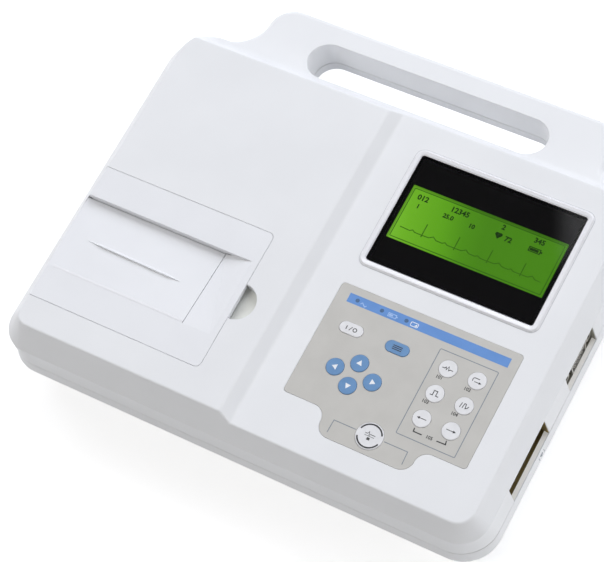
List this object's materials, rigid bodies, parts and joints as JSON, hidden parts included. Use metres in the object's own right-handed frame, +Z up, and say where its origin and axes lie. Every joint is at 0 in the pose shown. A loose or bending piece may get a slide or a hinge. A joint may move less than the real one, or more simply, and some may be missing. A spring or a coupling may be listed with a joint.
{
  "type": "electrocardiograph",
  "caption": "Portable electrocardiograph: flat case with a carrying handle, a thermal printer under a hinged paper door, a graphic display, a keypad, and patient and serial sockets.",
  "frame": {"origin": "under the middle of the whole machine, on the plane of its feet", "axes": "+X to the right along the front edge, +Y to the handle at the back, +Z up"},
  "size_m": [0.2836, 0.2408, 0.054],
  "materials": {
    "case_plastic": "fine moulded texture",
    "door_plastic": "fine moulded texture",
    "foot_rubber": "matt",
    "battery_wrap": "shrink sleeve",
    "bright_steel": "bright",
    "tray_plastic": "moulded",
    "paper": "coated paper, wound edge",
    "platen_rubber": "ground rubber",
    "gear_plastic": "moulded acetal",
    "gear_brass": "machined",
    "plated_steel": "nickel plate",
    "head_ceramic": "glazed strip on a heat sink",
    "bezel_plastic": "fine moulded texture",
    "window_pane": "clear pane with a black border",
    "circuit_board": "solder mask",
    "display_glass": "lit green display",
    "overlay_film": "printed film",
    "lamp_lens": "diffused lens",
    "core_iron": "varnished laminations",
    "insert_plastic": "moulded",
    "inlet_plastic": "moulded",
    "blue_key": "satin",
    "white_key": "satin",
    "print_key": "satin"
  },
  "bodies": {
    "case": {"upper_case": "case_plastic", "lower_case": "case_plastic", "rubber_feet": "foot_rubber", "case_screws": "plated_steel", "battery_cover": "case_plastic", "battery_pack": "battery_wrap", "hinge_pins": "bright_steel", "paper_tray": "tray_plastic", "stepper_motor": "plated_steel", "print_head": "head_ceramic", "head_spring": "bright_steel", "display_bezel": "bezel_plastic", "display_window": "window_pane", "lcd_module": "circuit_board", "lcd_glass": "display_glass", "keypad_overlay": "overlay_film", "indicator_leds": "lamp_lens", "keypad_board": "circuit_board", "key_domes": "bright_steel", "main_board": "circuit_board", "power_board": "circuit_board", "power_transformer": "core_iron", "patient_socket": "plated_steel", "patient_insert": "insert_plastic", "patient_jackscrews": "plated_steel", "serial_socket": "plated_steel", "serial_insert": "insert_plastic", "serial_jackscrews": "plated_steel", "mains_inlet": "inlet_plastic", "mains_pins": "plated_steel", "earth_post": "gear_brass"},
    "door": {"paper_door": "door_plastic", "paper_ramp": "door_plastic", "tear_bar": "door_plastic", "door_latch": "door_plastic"},
    "roll": {"paper_roll": "paper", "roll_spindle": "tray_plastic"},
    "platen": {"platen_roller": "platen_rubber", "platen_shaft": "bright_steel", "platen_gear": "gear_plastic"},
    "idler": {"idler_gear": "gear_plastic"},
    "pinion": {"motor_pinion": "gear_brass"},
    "key_power": {"key_power": "white_key"},
    "key_menu": {"key_menu": "blue_key"},
    "key_up": {"key_up": "blue_key"},
    "key_down": {"key_down": "blue_key"},
    "key_left": {"key_left": "blue_key"},
    "key_right": {"key_right": "blue_key"},
    "key_sens": {"key_sens": "white_key"},
    "key_recall": {"key_recall": "white_key"},
    "key_cal": {"key_cal": "white_key"},
    "key_mode": {"key_mode": "white_key"},
    "key_lead_left": {"key_lead_left": "white_key"},
    "key_lead_right": {"key_lead_right": "white_key"},
    "key_print": {"key_print": "print_key"}
  },
  "joints": [
    {"name": "door_hinge", "type": "hinge", "parent": "case", "child": "door", "pos_m": [-0.12597, -0.05245, 0.0507], "axis": [0, -1, 0], "range_deg": [0, 100]},
    {"name": "roll_spin", "type": "hinge", "parent": "case", "child": "roll", "pos_m": [-0.088, -0.068, 0.03], "axis": [1, 0, 0], "continuous": true},
    {"name": "platen_spin", "type": "hinge", "parent": "case", "child": "platen", "pos_m": [-0.088, -0.036, 0.042], "axis": [1, 0, 0], "continuous": true},
    {"name": "idler_spin", "type": "hinge", "parent": "case", "child": "idler", "pos_m": [-0.0529, -0.04368, 0.02692], "axis": [1, 0, 0], "continuous": true},
    {"name": "pinion_spin", "type": "hinge", "parent": "case", "child": "pinion", "pos_m": [-0.0529, -0.02825, 0.02392], "axis": [1, 0, 0], "continuous": true},
    {"name": "key_power_press", "type": "slide", "parent": "case", "child": "key_power", "axis": [0, 0, -1], "range_m": [0, 0.0005], "stiffness_N_per_m": 900},
    {"name": "key_menu_press", "type": "slide", "parent": "case", "child": "key_menu", "axis": [0, 0, -1], "range_m": [0, 0.0005], "stiffness_N_per_m": 900},
    {"name": "key_up_press", "type": "slide", "parent": "case", "child": "key_up", "axis": [0, 0, -1], "range_m": [0, 0.0005], "stiffness_N_per_m": 900},
    {"name": "key_down_press", "type": "slide", "parent": "case", "child": "key_down", "axis": [0, 0, -1], "range_m": [0, 0.0005], "stiffness_N_per_m": 900},
    {"name": "key_left_press", "type": "slide", "parent": "case", "child": "key_left", "axis": [0, 0, -1], "range_m": [0, 0.0005], "stiffness_N_per_m": 900},
    {"name": "key_right_press", "type": "slide", "parent": "case", "child": "key_right", "axis": [0, 0, -1], "range_m": [0, 0.0005], "stiffness_N_per_m": 900},
    {"name": "key_sens_press", "type": "slide", "parent": "case", "child": "key_sens", "axis": [0, 0, -1], "range_m": [0, 0.0005], "stiffness_N_per_m": 900},
    {"name": "key_recall_press", "type": "slide", "parent": "case", "child": "key_recall", "axis": [0, 0, -1], "range_m": [0, 0.0005], "stiffness_N_per_m": 900},
    {"name": "key_cal_press", "type": "slide", "parent": "case", "child": "key_cal", "axis": [0, 0, -1], "range_m": [0, 0.0005], "stiffness_N_per_m": 900},
    {"name": "key_mode_press", "type": "slide", "parent": "case", "child": "key_mode", "axis": [0, 0, -1], "range_m": [0, 0.0005], "stiffness_N_per_m": 900},
    {"name": "key_lead_left_press", "type": "slide", "parent": "case", "child": "key_lead_left", "axis": [0, 0, -1], "range_m": [0, 0.0005], "stiffness_N_per_m": 900},
    {"name": "key_lead_right_press", "type": "slide", "parent": "case", "child": "key_lead_right", "axis": [0, 0, -1], "range_m": [0, 0.0005], "stiffness_N_per_m": 900},
    {"name": "key_print_press", "type": "slide", "parent": "case", "child": "key_print", "axis": [0, 0, -1], "range_m": [0, 0.0005], "stiffness_N_per_m": 900}
  ],
  "couplings": [
    {"joint": "platen_spin", "follows": "roll_spin", "ratio": 3.8},
    {"joint": "idler_spin", "follows": "roll_spin", "ratio": -1.52},
    {"joint": "pinion_spin", "follows": "roll_spin", "ratio": 5.0667}
  ]
}
